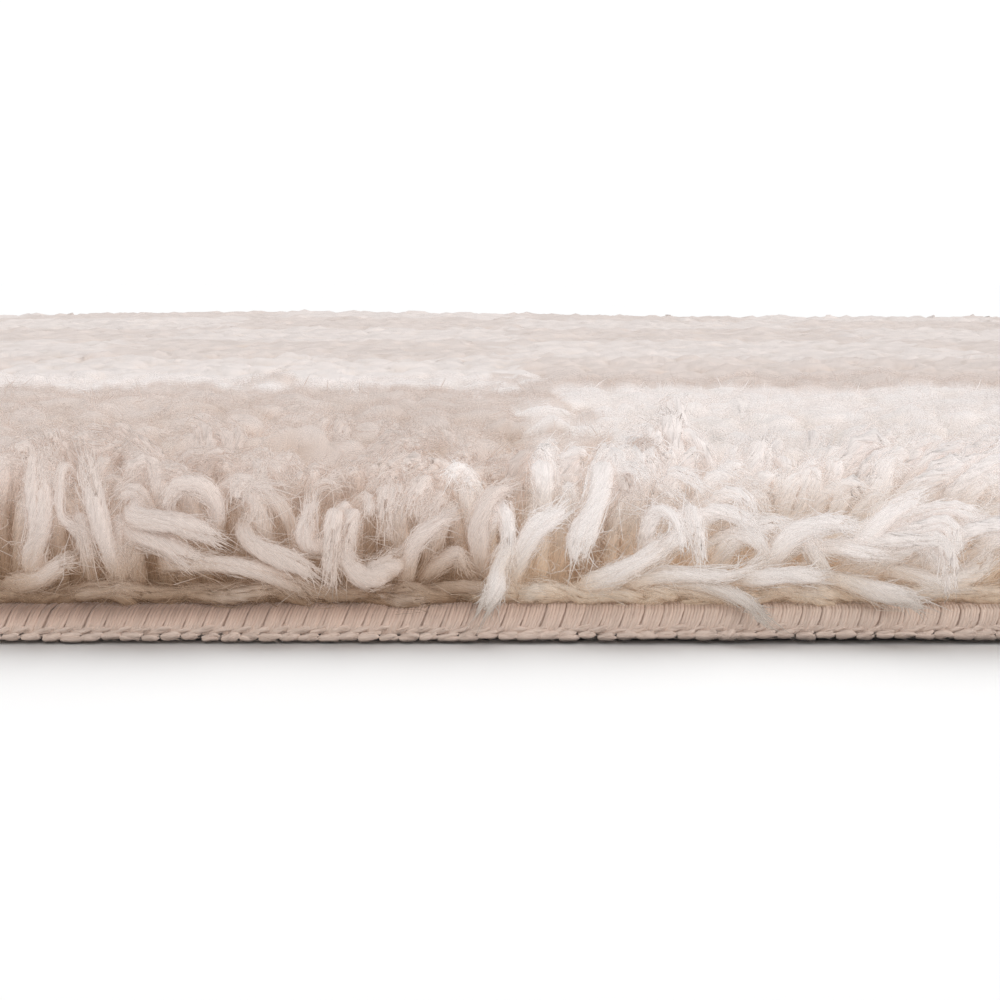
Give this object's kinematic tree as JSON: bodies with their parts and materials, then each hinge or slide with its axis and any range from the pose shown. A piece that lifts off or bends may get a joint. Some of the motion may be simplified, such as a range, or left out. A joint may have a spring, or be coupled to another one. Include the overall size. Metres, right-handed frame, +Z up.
{
  "type": "shag rug",
  "caption": "Square shag rug with a deep cut pile in a plain checkerboard of beige and cream, on a woven ground cloth with an overlocked edge.",
  "frame": {"origin": "on the floor under the rug's middle", "axes": "+Z up out of the pile; the front edge, which the picture shows, faces -Y; +X runs to the right along it"},
  "size_m": [1.0154, 1.0154, 0.0374],
  "materials": {
    "pile_yarn": "thick, softly twisted yarn cut to a deep fluffy pile, beige and cream in a plain checkerboard, each strand darker and warmer towards its root",
    "edge_yarn": "fine matt overlock threads, slanting side by side over the edge, with a chain of small loops along its foot",
    "ground_weave": "coarse plain weave of matt natural-coloured threads, seen on the underside"
  },
  "bodies": {
    "root": {"ground_cloth": "ground_weave", "edge_front": "edge_yarn", "edge_right": "edge_yarn", "edge_back": "edge_yarn", "edge_left": "edge_yarn", "pile": "pile_yarn"}
  },
  "joints": []
}
